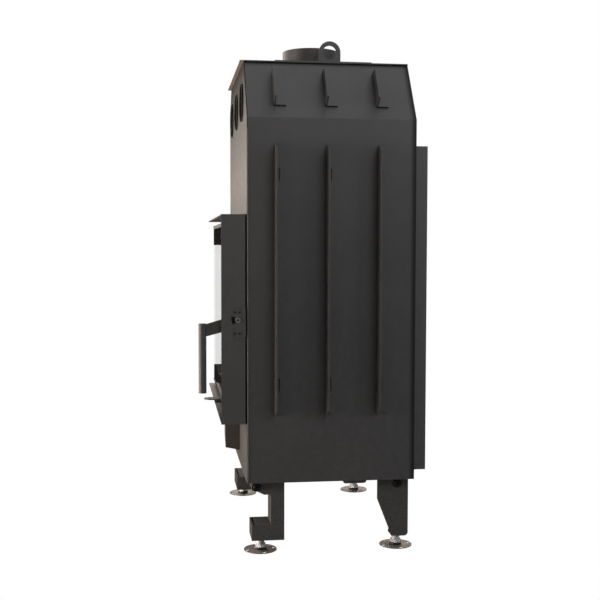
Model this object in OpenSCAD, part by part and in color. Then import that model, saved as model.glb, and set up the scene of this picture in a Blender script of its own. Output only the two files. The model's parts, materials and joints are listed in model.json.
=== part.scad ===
// Corner fireplace insert: a welded steel casing round a fireclay-lined firebox,
// with a glass-cornered door that swings on pins at the back of its side pane.
// X runs to the right, Y to the back and Z up. The floor is Z = 0, and the origin
// is the middle of the whole insert's footprint.

/* [Casing] */
// Width of the casing across the front
case_w = 716; // [680:2:760]
// Depth of the casing, front panel to back wall
case_d = 438; // [430:2:480]
// Height of the casing's underside above the floor
body_low = 195; // [190:1:215]
// Height of the upright casing walls
wall_h = 933; // [925:1:980]
// Rise of the hood above the right wall
hood_rise = 157; // [140:1:175]
// Distance the hood leans in over the right wall
hood_inset = 107; // [95:1:115]
// Distance the upper left wall stands in from the lower one
step_in = 51; // [45:1:58]
// Rise of the hood above the upper left wall
left_rise = 70; // [55:1:90]
// Distance the hood leans in over the upper left wall
left_inset = 56; // [45:1:65]
// Thickness of the casing sheet
sheet = 3; // [2:0.5:4]
// Reach of the top plate past the front panel
top_lip_front = 10; // [5:1:20]
// Reach of the top plate past the hood sides and the back
top_lip_side = 4; // [2:0.5:8]
// Thickness of the raised pad under the flue collar
pad_t = 3; // [2:0.5:5]
// Depth of the raised pad, front to back
pad_d = 258; // [230:2:280]

/* [Warm air outlets] */
// Diameter of each warm-air outlet
outlet_d = 97.4; // [80:0.2:100]
// Distance between outlet centres
outlet_pitch = 197.5; // [170:0.5:198]
// Height of the outlet centres above the right wall's top
outlet_rise = 57; // [54:1:60]

/* [Flue] */
// Outer diameter of the flue collar
flue_d = 160; // [120:1:180]
// Wall of the flue collar
flue_wall = 3; // [2:0.5:4]
// Height of the collar above the raised pad
flue_h = 67; // [60:1:90]
// Distance of the flue axis behind the front panel
flue_y = 212; // [200:1:225]

/* [Lifting eyes] */
// Diameter of the hole in each lifting eye
eye_hole_d = 38; // [30:1:40]
// Width of the ring round the hole
eye_ring = 11; // [8:0.5:13]
// Height of the hole's centre above the raised pad
eye_rise = 47; // [42:1:52]
// Thickness of each lifting eye
eye_t = 8; // [6:0.5:10]
// Distance of the lifting eyes from the flue axis, sideways
eye_off_x = 123; // [112:1:140]
// Distance of the lifting eyes behind the flue axis
eye_off_y = 36; // [0:1:45]

/* [Ribs] */
// Reach of each rib out of the wall
rib_out = 40; // [32:1:50]
// Width of each rib's flat leg
rib_flat = 26; // [20:1:30]
// Thickness of the rib angle
rib_t = 4; // [3:0.5:5]
// Distance of the first rib behind the front panel
rib_first = 71; // [60:1:80]
// Distance between ribs
rib_pitch = 133; // [120:1:140]
// Height of the wall ribs' lower ends above the casing's underside
rib_low = 178; // [160:1:200]
// Distance of the wall ribs' upper ends below the wall's top
rib_high = 68; // [60:1:150]
// Distance of the hood ribs' lower ends above the shoulder, along the slope
hood_rib_low = 38; // [25:1:40]
// Distance of the hood ribs' upper ends below the hood's top, along the slope
hood_rib_high = 38; // [20:1:60]
// Width of the hood ribs' flat leg
hood_rib_flat = 31; // [24:1:34]
// Number of ribs on the wall and on the hood side
rib_count = 3; // [2:1:3]

/* [Rear shield] */
// Distance of the heat shield's sides in from the casing's sides
shield_in = 40; // [33:1:78]
// Depth of the heat shield
shield_d = 40; // [30:1:60]
// Height of the shield's lower edge above the casing's underside
shield_low = 16; // [5:1:40]
// Distance of the shield's upper edge below the wall's top
shield_high = 63; // [45:1:110]
// Thickness of the shield sheet
shield_t = 2; // [1.5:0.5:3]

/* [Surround] */
// Reach of the surround past the casing's left wall
surround_over = 53; // [50:1:59]
// Height of the surround's underside above the casing's underside
surround_low = 154; // [150:1:165]
// Height of the wall above the surround
surround_high = 244; // [230:1:250]
// Reach of the surround in front of the front panel
surround_reach = 65; // [62:1:72]
// Shadow gap between the side panel and the front panel
panel_gap = 4; // [3:0.5:5]
// Width of the side panel's inward fold
panel_fold = 34; // [33:1:38]
// Distance from the side opening's back edge to the back of the surround
rear_margin = 68; // [64:1:74]
// Distance of the surround's back panel in front of the casing's back
surround_in = 78; // [70:1:80]

/* [Door] */
// Distance of the door's face behind the surround's front edge
door_recess = 15; // [13:1:16]
// Gap between the door and the surround's top plate
door_gap_top = 14; // [12:1:18]
// Gap between the door and the surround's bottom plate
door_gap_low = 13; // [12:1:18]
// Gap between the door's right end and the side panel's face
door_gap_right = 30; // [30:1:33]
// Thickness of the door's sheet
door_sheet = 3; // [2:0.5:3]
// Height of the lips that hold the panes at top and bottom
lip_top = 10; // [7:0.5:14]
// Height of the lip under the panes
lip_low = 7; // [6:0.5:12]
// Height of the flange behind the panes
flange_h = 42; // [38:1:46]
// Thickness of the ceramic glass
glass_t = 4; // [3:0.5:5]
// Distance of the throat face in front of the front panel
throat_stand = 10; // [9:0.5:11]
// Width of the rim that the door closes against
throat_rim = 43; // [36:1:46]
// Depth of the throat's returns into the firebox
throat_depth = 37; // [25:1:40]
// Thickness of the door's rope seal when shut
seal_t = 3.7; // [3:0.1:4]
// Width of the rope seal
seal_w = 10; // [8:0.5:12]

/* [Hinge] */
// Diameter of the hinge pins
hinge_pin_d = 10; // [8:0.5:12]
// Distance of the hinge axis in from the door's left face
hinge_in = 14; // [13.5:0.5:14.5]
// Width of the hinge stile, front to back
stile_d = 20; // [18:0.5:20]
// Thickness of the hinge stile, sideways
stile_w = 28; // [27:0.5:28]
// Height of the bored block at each end of the hinge stile
hinge_block_h = 22; // [16:1:30]
// Running clearance round pins
pin_clear = 0.05; // [0.02:0.01:0.09]

/* [Handle and latch] */
// Diameter of the grip
grip_d = 20; // [16:1:24]
// Length of the grip
grip_len = 178; // [140:1:220]
// Distance of the grip's axis in front of the surround
grip_reach = 47; // [42:1:60]
// Thickness of the lever arm
lever_t = 8; // [6:0.5:9]
// Height of the lever arm
lever_h = 31; // [24:1:34]
// Distance of the lever arm's middle in from the side panel's face
lever_in = 20; // [19:0.5:21]
// Height of the lever's pivot above the surround's underside
pivot_z = 257; // [200:1:330]
// Distance of the lever's pivot in front of the front panel
pivot_front = 44; // [43:0.5:45]
// Diameter of the lever's pivot pin
pivot_d = 8; // [6:0.5:10]
// Distance of the roller behind the lever's pivot
roller_back = 21; // [20.5:0.5:21.5]
// Height of the roller above the lever's pivot
roller_up = 9.6; // [8.5:0.1:10]
// Diameter of the latch roller
roller_d = 16; // [14:0.5:16]
// Length of the latch roller
roller_len = 12; // [10:0.5:12]
// Diameter of the roller's axle
axle_d = 8; // [6:0.5:8.5]
// Diameter of the axle's head
axle_head_d = 13.4; // [12:0.2:15]
// Thickness of the latch plate
latch_t = 2; // [1.5:0.5:3]

/* [Air control] */
// Width of the air box
air_box_w = 247; // [220:1:270]
// Depth of the air box in front of the front panel
air_box_d = 40; // [38:1:50]
// Height of the air box at its back
air_box_h = 119; // [100:1:140]
// Rise of the air box's underside towards the front
air_box_rake = 8; // [0:1:15]
// Depth the air box loses towards its left end
air_box_taper = 11; // [6:1:12]
// Width of the slider's tab
tab_w = 42; // [30:1:50]
// Reach of the tab in front of the surround
tab_reach = 30; // [20:1:40]
// Thickness of the slider's tab
tab_t = 3; // [2:0.5:4]
// Gap between the tab and the surround's bottom plate
tab_gap = 4.6; // [0.6:0.2:6]
// Travel of the slider each way
tab_travel = 40; // [20:1:45]

/* [Firebox] */
// Width of the warm-air gap beside the firebox
gap_side = 42; // [36:1:44]
// Depth of the warm-air gap behind the firebox
gap_rear = 39; // [36:1:44]
// Thickness of the firebox plate
plate_t = 4; // [3:0.5:6]
// Height of the firebox roof above the surround's top
roof_up = 126; // [110:1:140]
// Thickness of the fireclay lining
lining_t = 30; // [25:1:35]
// Thickness of the hearth slab
slab_t = 36; // [30:1:37]
// Side of the square grate
grate_side = 220; // [160:5:240]
// Thickness of the grate
grate_t = 14; // [10:1:20]
// Height of the log guard
guard_h = 44; // [35:1:60]
// Thickness of the lower baffle
baffle_t = 25; // [20:1:27]
// Depth of the upper baffle plate
upper_baffle_d = 270; // [240:2:280]

/* [Legs] */
// Distance of the right legs' outer faces in from the right wall
leg_in = 32; // [20:1:36]
// Width of the right front leg
leg_w = 84; // [80:1:96]
// Width of the left front leg
leg_left_w = 130; // [100:1:140]
// Width of the back legs' soles
sole_w = 86; // [80:1:96]
// Height of the legs' undersides above the floor
leg_low = 36; // [33:1:40]
// Thickness of the leg plate
leg_t = 4; // [3:0.5:5]
// Height of the front legs' foot box
tray_h = 41; // [36:1:50]
// Distance of the front legs' front behind the front panel
leg_front_y = 15; // [12:1:16]
// Distance of the front legs' back behind the front panel
leg_front_end = 100; // [99:1:110]
// Distance of the front feet behind the front panel
foot_front_y = 41; // [40:0.5:42]
// Distance of the back feet in front of the casing's back
foot_rear_in = 31; // [28:1:36]
// Distance of the right feet in from the right wall
foot_in = 77; // [72:1:80]
// Distance of the left feet in from the left wall
foot_left_in = 22; // [22:1:40]

/* [Feet] */
// Diameter of each foot plate
foot_d = 87; // [80:1:88]
// Thickness of each foot plate
foot_t = 2; // [1.5:0.5:4]
// Diameter of the threaded stud
stud_d = 22; // [18:1:24]
// Length of the stud above the foot plate
stud_len = 58; // [54:1:62]
// Diameter of the ring at the stud's base
collar_d = 33; // [30:1:38]
// Height of the ring
collar_h = 6; // [5:0.5:7]
// Diameter of the anchor holes in the foot plate
anchor_d = 11; // [6:0.5:11]
// Radius of the ring of anchor holes
anchor_r = 36; // [30:0.5:36]

/* [Hidden] */
$fn = 64;

// Overrun of every cut past the faces it opens
over = 1;
// Clearance of a seated piece that moves
seat_clear = 0.3;

// Casing lines, measured from the right wall's face, the front panel's face and the floor
left_x = -case_w;
mid_x = -case_w / 2;
shoulder_z = body_low + wall_h;
roof_z = shoulder_z + hood_rise;
left_shoulder_z = roof_z - left_rise;
top_z = roof_z + sheet;
pad_z = top_z + pad_t;
slope_angle = atan(hood_inset / hood_rise);
slope_skin = sheet / cos(slope_angle);
upper_x = left_x + step_in;
left_angle = atan(left_inset / left_rise);
left_skin = sheet / cos(left_angle);

// Surround and door lines
sur_z0 = body_low + surround_low;
sur_front = -surround_reach;
sur_left = left_x - surround_over;
surround_h = wall_h - surround_low - surround_high;
sur_z1 = sur_z0 + surround_h;
surround_d = case_d - surround_in;
door_face_y = sur_front + door_recess;
throat_face_y = -throat_stand;
door_depth = throat_face_y - door_face_y;
door_face_x = left_x - door_depth;
door_z0 = sur_z0 + sheet + door_gap_low;
door_z1 = sur_z1 - sheet - door_gap_top;
door_right = -door_gap_right;
seal_gap = seal_t + seat_clear;
flange_y = throat_face_y - seal_gap - door_sheet;
flange_x = left_x - seal_gap - door_sheet;
throat_z0 = sur_z0 + sheet + throat_rim;
throat_z1 = sur_z1 - sheet - throat_rim;
throat_x = door_right - throat_rim + 2 * door_sheet;
step_z = sur_z1 - sheet;
side_open_y = surround_d - rear_margin;

// Hinge lines
hinge_x = door_face_x + hinge_in;
stile_clear = 14;
stile_y1 = surround_d - stile_clear;
stile_y0 = stile_y1 - stile_d;
hinge_y = stile_y0 + stile_d / 2;

// Handle and latch lines
lever_x0 = -lever_in - lever_t / 2;
grip_y = sur_front - grip_reach;
pivot_y = -pivot_front;
pivot_h = sur_z0 + pivot_z;
roller_y = pivot_y + roller_back;
roller_z = pivot_h + roller_up;
roller_dist = sqrt(roller_back * roller_back + roller_up * roller_up);
finger_clear = 0.4;
finger_t = 5;
finger_r = roller_dist + roller_d / 2 + finger_clear;
hub_gap = 2.6;
hub_r = roller_dist - roller_d / 2 - hub_gap;
grip_z1 = pivot_h;

// Firebox lines
fire_x1 = -sheet - gap_side;
fire_x0 = left_x + sheet;
fire_y0 = sheet;
fire_y1 = case_d - sheet - gap_rear - plate_t;
floor_z = sur_z0 + sheet;
slab_z0 = floor_z + plate_t;
hearth_z = slab_z0 + slab_t;
inner_x1 = fire_x1 - plate_t;
slab_x1 = inner_x1 - lining_t;
fire_roof_z = sur_z1 + roof_up;
lining_top_share = 0.935;
lining_z1 = sur_z0 + surround_h * lining_top_share;
lining_y0 = throat_depth;

// Foot lines
foot_x_right = -foot_in;
foot_x_left = left_x + foot_left_in;
foot_rear_y = case_d - foot_rear_in;

// Shift that brings the footprint's middle to the origin
shift_x = (-sur_left - rib_out) / 2;
shift_y = (surround_reach + grip_reach + grip_d / 2 - case_d - shield_d) / 2;

module placed() {
  translate([shift_x, shift_y, 0]) children();
}

// Draws an outline given in X and Z, and fills it from y0 to y1
module front_view(y0, y1) {
  translate([0, y1, 0]) rotate([90, 0, 0]) linear_extrude(y1 - y0) children();
}

// Draws an outline given in Y and Z, and fills it from x0 to x1
module side_view(x0, x1) {
  translate([x0, 0, 0]) rotate([90, 0, 90]) linear_extrude(x1 - x0) children();
}

// Block between two opposite corners
module block(a, b) {
  translate(a) cube(b - a);
}

// Round bar along X
module bar_x(x0, x1, y, z, r) {
  translate([x0, y, z]) rotate([0, 90, 0]) cylinder(h = x1 - x0, r = r);
}

// L-shaped plate in plan that wraps the glazed corner
module corner_plate(out_x, out_y, in_x, in_y, x_end, y_end, z0, z1) {
  translate([0, 0, z0]) linear_extrude(z1 - z0)
    polygon([[x_end, out_y], [out_x, out_y], [out_x, y_end], [in_x, y_end], [in_x, in_y], [x_end, in_y]]);
}

// L-shaped upright strip of one thickness
module corner_band(out_x, out_y, t, x_end, y_end, z0, z1) {
  corner_plate(out_x, out_y, out_x + t, out_y + t, x_end, y_end, z0, z1);
}

// Outline of the front and back sheets, with the hood's slanted shoulders
module gable() {
  polygon([
    [left_x, body_low], [0, body_low], [0, shoulder_z], [-hood_inset, roof_z],
    [upper_x + left_inset, roof_z], [upper_x, left_shoulder_z], [upper_x, step_z], [left_x, step_z]
  ]);
}

module right_wall() {
  color("#3b3b3e") placed() front_view(sheet, case_d - sheet)
    polygon([
      [0, body_low], [0, shoulder_z], [-hood_inset, roof_z], [-hood_inset - slope_skin, roof_z],
      [-sheet, shoulder_z + sheet * (1 - cos(slope_angle)) / sin(slope_angle)], [-sheet, body_low]
    ]);
}

module left_wall_upper() {
  color("#3b3b3e") placed() front_view(sheet, case_d - sheet)
    polygon([
      [upper_x, step_z], [upper_x, left_shoulder_z], [upper_x + left_inset, roof_z],
      [upper_x + left_inset + left_skin, roof_z],
      [upper_x + sheet, left_shoulder_z + sheet * (1 - cos(left_angle)) / sin(left_angle)],
      [upper_x + sheet, step_z]
    ]);
}

module left_wall_lower() {
  color("#3b3b3e") placed() difference() {
    block([left_x, sheet, body_low], [left_x + sheet, case_d - sheet, step_z]);
    block([left_x - over, 0, throat_z0 - sheet], [left_x + sheet + over, side_open_y, throat_z1 + sheet]);
  }
}

module rear_wall() {
  color("#3b3b3e") placed() front_view(case_d - sheet, case_d) gable();
}

// Clear slot behind the air box
intake_w_share = 0.35;
intake_half = air_box_w * intake_w_share;
intake_h = 60;
intake_z = 45;
module front_panel() {
  color("#8a8078") placed() difference() {
    front_view(0, sheet) gable();
    block([left_x - over, -over, throat_z0 - sheet], [throat_x + sheet, sheet + over, throat_z1 + sheet]);
    for (i = [-1, 0, 1])
      translate([mid_x + i * outlet_pitch, -over, shoulder_z + outlet_rise])
        rotate([-90, 0, 0]) cylinder(h = sheet + 2 * over, d = outlet_d);
    translate([air_mid, 0, air_box_z0 + intake_z])
      block([-intake_half, -over, 0], [intake_half, sheet + over, intake_h]);
  }
}

// The base closes the firebox only, so the warm-air gaps stay open below
module base_plate() {
  color("#39393b") placed()
    block([left_x + sheet, sheet, body_low], [fire_x1, fire_y1 + plate_t, body_low + sheet]);
}

pad_in = 6;
roof_x0 = upper_x + left_inset - top_lip_side;
roof_x1 = -hood_inset + top_lip_side;
duct_step = 2;
duct_r = flue_d / 2 - duct_step;
module duct_hole(z, t) {
  translate([mid_x, flue_y, z - over]) cylinder(h = t + 2 * over, r = duct_r);
}

module top_plate() {
  color("#444446") placed() difference() {
    block([roof_x0, -top_lip_front, roof_z], [roof_x1, case_d, top_z]);
    duct_hole(roof_z, sheet);
  }
}

module flue_base() {
  color("#48484a") placed() difference() {
    block([roof_x0 + pad_in, flue_y - pad_d / 2, top_z], [roof_x1 - pad_in, flue_y + pad_d / 2, pad_z]);
    duct_hole(top_z, pad_t);
  }
}

module tube(z0, z1, r) {
  translate([mid_x, flue_y, z0]) difference() {
    cylinder(h = z1 - z0, r = r);
    translate([0, 0, -over]) cylinder(h = z1 - z0 + 2 * over, r = r - flue_wall);
  }
}

// Collar that sits on the pad, on a slightly narrower duct down to the firebox
module flue_collar() {
  color("#4d4d50") placed() {
    tube(fire_roof_z, pad_z + sheet, duct_r);
    tube(pad_z, pad_z + flue_h, flue_d / 2);
  }
}

module lifting_eye() {
  r = eye_hole_d / 2 + eye_ring;
  translate([-eye_t / 2, 0, 0]) difference() {
    union() {
      bar_x(0, eye_t, 0, eye_rise, r);
      block([0, -r, 0], [eye_t, r, eye_rise]);
    }
    bar_x(-over, eye_t + over, 0, eye_rise, eye_hole_d / 2);
  }
}

module lifting_eyes() {
  color("#59595c") placed()
    for (side = [-1, 1]) translate([mid_x + side * eye_off_x, flue_y + eye_off_y, pad_z]) lifting_eye();
}

// Angle rib standing on a wall whose face is X = 0, lower end at Z = 0, its outer corners cut off
rib_tip = 14;
rib_root = 10;
rib_heel = 12;
rib_len = wall_h - rib_low - rib_high;
slope_len = sqrt(hood_inset * hood_inset + hood_rise * hood_rise);
hood_rib_len = slope_len - hood_rib_low - hood_rib_high;
module rib(len, heel, flat) {
  front_view(0, rib_t)
    polygon([
      [0, 0], [rib_out - heel, 0], [rib_out, heel], [rib_out, len - rib_tip], [rib_root, len], [0, len]
    ]);
  block([0, rib_t, 0], [rib_t, flat, len]);
}

weld_slot_l = 31;
weld_slot_w = 5;
weld_slot_in = 60;
module wall_ribs() {
  color("#3f3f42") placed()
    for (i = [0:rib_count - 1])
      translate([0, rib_first + i * rib_pitch, body_low + rib_low]) difference() {
        rib(rib_len, rib_heel, rib_flat);
        for (z = [weld_slot_in, rib_len - weld_slot_in - weld_slot_l])
          block([-over, 2 * rib_t, z], [rib_t + over, 2 * rib_t + weld_slot_w, z + weld_slot_l]);
      }
}

module hood_ribs() {
  color("#505053") placed()
    for (i = [0:rib_count - 1])
      translate([0, rib_first + i * rib_pitch, shoulder_z]) rotate([0, -slope_angle, 0])
        translate([0, 0, hood_rib_low]) rib(hood_rib_len, 0, hood_rib_flat);
}

shield_flange = 14;
module rear_shield() {
  x0 = left_x + shield_in;
  x1 = -shield_in;
  z0 = body_low + shield_low;
  z1 = shoulder_z - shield_high;
  inner_x = x0 + shield_t;
  inner_z = z0 + shield_t;
  color("#424245") placed() difference() {
    block([x0, case_d, z0], [x1, case_d + shield_d, z1]);
    block([inner_x, case_d + shield_t, inner_z],
      [x1 - shield_t, case_d + shield_d - shield_t, z1 - shield_t]);
    block([x0 + shield_flange, case_d - over, z0 + shield_flange],
      [x1 - shield_flange, case_d + 2 * shield_t, z1 - shield_flange]);
  }
}

module firebox_side_wall() {
  color("#2f2f31") placed()
    block([inner_x1, fire_y0, body_low + sheet], [fire_x1, fire_y1, fire_roof_z]);
}

module firebox_rear_wall() {
  color("#2f2f31") placed() front_view(fire_y1, fire_y1 + plate_t)
    polygon([
      [fire_x0, body_low + sheet], [fire_x1, body_low + sheet], [fire_x1, fire_roof_z],
      [upper_x + sheet, fire_roof_z], [upper_x + sheet, step_z], [fire_x0, step_z]
    ]);
}

module firebox_floor() {
  color("#2f2f31") placed()
    block([fire_x0, fire_y0, floor_z], [inner_x1, fire_y1, slab_z0]);
}

module firebox_roof() {
  color("#2f2f31") placed() difference() {
    block([upper_x + sheet, fire_y0, fire_roof_z - plate_t], [inner_x1, fire_y1, fire_roof_z]);
    translate([mid_x, flue_y, fire_roof_z - plate_t - over])
      cylinder(h = plate_t + 2 * over, r = duct_r - flue_wall);
  }
}

module lining_right() {
  color("#c9b79a") placed()
    block([slab_x1, lining_y0, slab_z0], [inner_x1, fire_y1, lining_z1]);
}

module lining_rear() {
  color("#c9b79a") placed()
    block([fire_x0, fire_y1 - lining_t, slab_z0], [slab_x1, fire_y1, lining_z1]);
}

// Middle of the hearth, where the grate lies
grate_x = (fire_x0 + slab_x1) / 2;
grate_y = (lining_y0 + fire_y1 - lining_t) / 2;
grate_ledge = 12;
module hearth_slab() {
  half = grate_side / 2;
  fit = half + seat_clear;
  hole = half - grate_ledge;
  color("#bda98a") placed() difference() {
    block([fire_x0, lining_y0, slab_z0], [slab_x1, fire_y1 - lining_t, hearth_z]);
    translate([grate_x, grate_y, hearth_z - grate_t]) block([-fit, -fit, 0], [fit, fit, grate_t + over]);
    translate([grate_x, grate_y, floor_z]) block([-hole, -hole, 0], [hole, hole, hearth_z]);
  }
}

grate_slots = 7;
grate_bar = 14;
grate_rim = 20;
module grate() {
  half = grate_side / 2;
  step = (grate_side - 2 * grate_rim + grate_bar) / grate_slots;
  color("#2b2b2b") placed() translate([grate_x, grate_y, hearth_z - grate_t]) difference() {
    block([-half, -half, 0], [half, half, grate_t]);
    for (i = [0:grate_slots - 1])
      translate([grate_rim - half + i * step, 0, 0])
        block([0, grate_rim - half, -over], [step - grate_bar, half - grate_rim, grate_t + over]);
  }
}

guard_t = 5;
guard_in = 14;
guard_foot = 30;
module log_guard() {
  gx = fire_x0 + guard_in;
  gy = lining_y0 + guard_in;
  x_end = slab_x1 - guard_in;
  y_end = fire_y1 - lining_t - guard_in;
  color("#333335") placed() {
    corner_band(gx, gy, guard_t, x_end, y_end, hearth_z + guard_t, hearth_z + guard_h);
    corner_plate(gx, gy, gx + guard_foot, gy + guard_foot, gx + 2 * guard_foot, gy + 2 * guard_foot,
      hearth_z, hearth_z + guard_t);
    block([x_end - guard_foot, gy, hearth_z], [x_end, gy + guard_foot, hearth_z + guard_t]);
    block([gx, y_end - guard_foot, hearth_z], [gx + guard_foot, y_end, hearth_z + guard_t]);
  }
}

baffle_front_share = 0.3;
baffle_y0 = fire_y1 * baffle_front_share;
module baffle_lower() {
  color("#cbb996") placed()
    block([fire_x0, baffle_y0, lining_z1], [inner_x1, fire_y1, lining_z1 + baffle_t]);
}

// Upper baffle plate, held off the roof by a hanger at each corner
baffle_roof_gap = 66;
hanger_in = 30;
hanger_w = 24;
module baffle_upper() {
  z = fire_roof_z - plate_t - baffle_roof_gap;
  x0 = upper_x + sheet + seat_clear;
  x1 = inner_x1 - seat_clear;
  y1 = fire_y0 + upper_baffle_d;
  color("#2e2e30") placed() {
    block([x0, fire_y0, z - plate_t], [x1, y1, z]);
    for (x = [x0 + hanger_in, x1 - hanger_in - hanger_w], y = [fire_y0 + hanger_in, y1 - hanger_in])
      block([x, y, z], [x + hanger_w, y + plate_t, fire_roof_z - plate_t]);
  }
}

// The top plate also covers the step between the lower and the upper left wall
module surround_top() {
  color("#3d3d40") placed() difference() {
    union() {
      corner_plate(sur_left, sur_front, left_x, 0, -sheet, surround_d, step_z, sur_z1);
      block([left_x, 0, step_z], [upper_x, case_d, sur_z1]);
    }
    translate([hinge_x, hinge_y, sur_z1 - sheet - over]) cylinder(h = sheet + 2 * over, d = hinge_pin_d);
  }
}

// Middle of the air box and of the slot above it
air_mid = sur_left / 2;
air_box_z0 = sur_z0 - air_box_h;
air_x0 = air_mid - air_box_w / 2;
air_x1 = air_mid + air_box_w / 2;
damper_y0 = sheet - air_box_d + air_box_taper + seat_clear;
stem_y0 = damper_y0 - sheet;
stem_d = 6;
stem_w = 24;
vent_d = 12;
vent_pitch = 24;
vent_count = 6;
vent_y = -vent_d;
module vent_row(z0, z1) {
  for (i = [0:vent_count - 1])
    translate([air_mid + (i - (vent_count - 1) / 2) * vent_pitch, vent_y, z0])
      cylinder(h = z1 - z0, d = vent_d);
}

module surround_bottom() {
  slot = stem_w / 2 + tab_travel + over;
  color("#3d3d40") placed() difference() {
    corner_plate(sur_left, sur_front, left_x, 0, -sheet, surround_d, sur_z0, sur_z0 + sheet);
    translate([hinge_x, hinge_y, sur_z0 - over]) cylinder(h = sheet + 2 * over, d = hinge_pin_d);
    block([air_mid - slot, stem_y0 - over, sur_z0 - over],
      [air_mid + slot, stem_y0 + stem_d + over, sur_z0 + 2 * sheet]);
    vent_row(sur_z0 - over, sur_z0 + 2 * sheet);
  }
}

window_h = 18;
window_front = 17;
window_rear = 7;
module surround_right() {
  color("#403f42") placed() difference() {
    union() {
      block([-sheet, sur_front, sur_z0], [0, -panel_gap, sur_z1]);
      block([-panel_fold, -panel_gap - sheet, sur_z0 + sheet], [-sheet, -panel_gap, sur_z1 - sheet]);
    }
    block([-sheet - over, roller_y - window_front, roller_z - window_h / 2],
      [over, roller_y + window_rear, roller_z + window_h / 2]);
  }
}

module surround_rear() {
  color("#3d3d40") placed()
    block([sur_left, surround_d - sheet, sur_z0 + sheet], [left_x, surround_d, sur_z1 - sheet]);
}

module throat_frame() {
  z0 = sur_z0 + sheet;
  z1 = sur_z1 - sheet;
  y1 = throat_face_y + throat_depth;
  color("#353537") placed() {
    corner_band(left_x, throat_face_y, sheet, door_right, 0, throat_z1, z1);
    corner_band(left_x, throat_face_y, sheet, door_right, 0, z0, throat_z0);
    block([throat_x, throat_face_y, throat_z0], [door_right, throat_face_y + sheet, throat_z1]);
    block([left_x + sheet, throat_face_y + sheet, throat_z1], [throat_x, y1, throat_z1 + sheet]);
    block([left_x + sheet, throat_face_y + sheet, throat_z0 - sheet], [throat_x, y1, throat_z0]);
    block([throat_x, throat_face_y + sheet, throat_z0 - sheet], [throat_x + sheet, y1, throat_z1 + sheet]);
  }
}

latch_front = 11;
latch_rear = 20;
latch_up = 29;
latch_down = 46;
latch_notch = 7;
module latch_plate() {
  color("#434245") placed() difference() {
    block([0, roller_y - latch_front, roller_z - latch_down],
      [latch_t, roller_y + latch_rear, roller_z + latch_up]);
    block([-over, roller_y - latch_front - over, roller_z - window_h / 2],
      [latch_t + over, roller_y - latch_notch, roller_z + window_h / 2]);
    bar_x(-over, latch_t + over, roller_y, roller_z, axle_d / 2);
  }
}

roller_x1 = roller_len / 2 - lever_in;
roller_x0 = -roller_len / 2 - lever_in;
head_h = 4;
socket_d = 5.6;
socket_depth = 3;
shoulder_d = 11;
end_ring = 2.4;
module latch_axle() {
  color("#8d8d8c") placed() difference() {
    union() {
      bar_x(latch_t, latch_t + head_h, roller_y, roller_z, axle_head_d / 2);
      bar_x(roller_x0 - end_ring, latch_t, roller_y, roller_z, axle_d / 2);
      bar_x(roller_x1 + seat_clear, 0, roller_y, roller_z, shoulder_d / 2);
      bar_x(roller_x0 - end_ring, roller_x0 - seat_clear, roller_y, roller_z, shoulder_d / 2);
    }
    bar_x(latch_t + head_h - socket_depth, latch_t + head_h + over, roller_y, roller_z, socket_d / 2);
  }
}

module latch_roller() {
  color("#9a9a98") placed() difference() {
    bar_x(roller_x0, roller_x1, roller_y, roller_z, roller_d / 2);
    bar_x(roller_x0 - over, roller_x1 + over, roller_y, roller_z, axle_d / 2 + pin_clear);
  }
}

screw_d = 5.4;
screw_h = 1.8;
screw_front = 7.5;
screw_rear = 4.5;
screw_up = 20;
screw_down = 34;
module latch_screws() {
  color("#2c2c2e") placed()
    for (y = [-screw_front, screw_rear], z = [-screw_down, screw_up])
      bar_x(latch_t, latch_t + screw_h, roller_y + y, roller_z + z, screw_d / 2);
}

pin_head_d = 16;
pin_head_h = 4;
module hinge_pins() {
  r = hinge_pin_d / 2;
  color("#6b6b6c") placed() translate([hinge_x, hinge_y, 0]) {
    translate([0, 0, door_z1 - hinge_block_h]) cylinder(h = sur_z1 - door_z1 + hinge_block_h, r = r);
    translate([0, 0, sur_z1]) cylinder(h = pin_head_h, d = pin_head_d);
    translate([0, 0, sur_z0]) cylinder(h = door_z0 + hinge_block_h - sur_z0, r = r);
    translate([0, 0, sur_z0 - pin_head_h]) cylinder(h = pin_head_h, d = pin_head_d);
    translate([0, 0, sur_z0 + sheet]) cylinder(h = door_gap_low - seat_clear, d = pin_head_d);
  }
}

ledge_w = 5;
damper_t = 3;
damper_z0 = sur_z0 - seat_clear - damper_t;
module air_box_outline(inset) {
  polygon([
    [inset - air_box_d, air_box_z0 + air_box_rake + inset], [inset ? over : 0, air_box_z0 + inset],
    [inset ? over : 0, sur_z0 + (inset ? over : 0)], [inset - air_box_d, sur_z0 + (inset ? over : 0)]
  ]);
}

// Everything in front of the box's slanting front
module air_box_front(inset) {
  translate([0, 0, air_box_z0 - over]) linear_extrude(air_box_h + 3 * over)
    polygon([
      [air_x1, -air_box_d - over], [air_x1, inset - air_box_d],
      [air_x0, inset - air_box_d + air_box_taper], [air_x0, -air_box_d - over]
    ]);
}

module air_box() {
  x0 = air_x0 + sheet;
  x1 = air_x1 - sheet;
  ledge_z = damper_z0 - seat_clear;
  ledge_y = sheet / 2 - air_box_d;
  color("#373534") placed() {
    difference() {
      side_view(air_x0, air_x1) air_box_outline(0);
      air_box_front(0);
      difference() {
        side_view(x0, x1) air_box_outline(sheet);
        air_box_front(sheet);
      }
    }
    block([x0, -ledge_w, ledge_z - sheet], [x1, 0, ledge_z]);
    translate([0, 0, ledge_z - sheet]) linear_extrude(sheet)
      polygon([
        [x1, ledge_y], [x1, damper_y0 + ledge_w], [x0, damper_y0 + ledge_w], [x0, ledge_y + air_box_taper]
      ]);
  }
}

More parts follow.
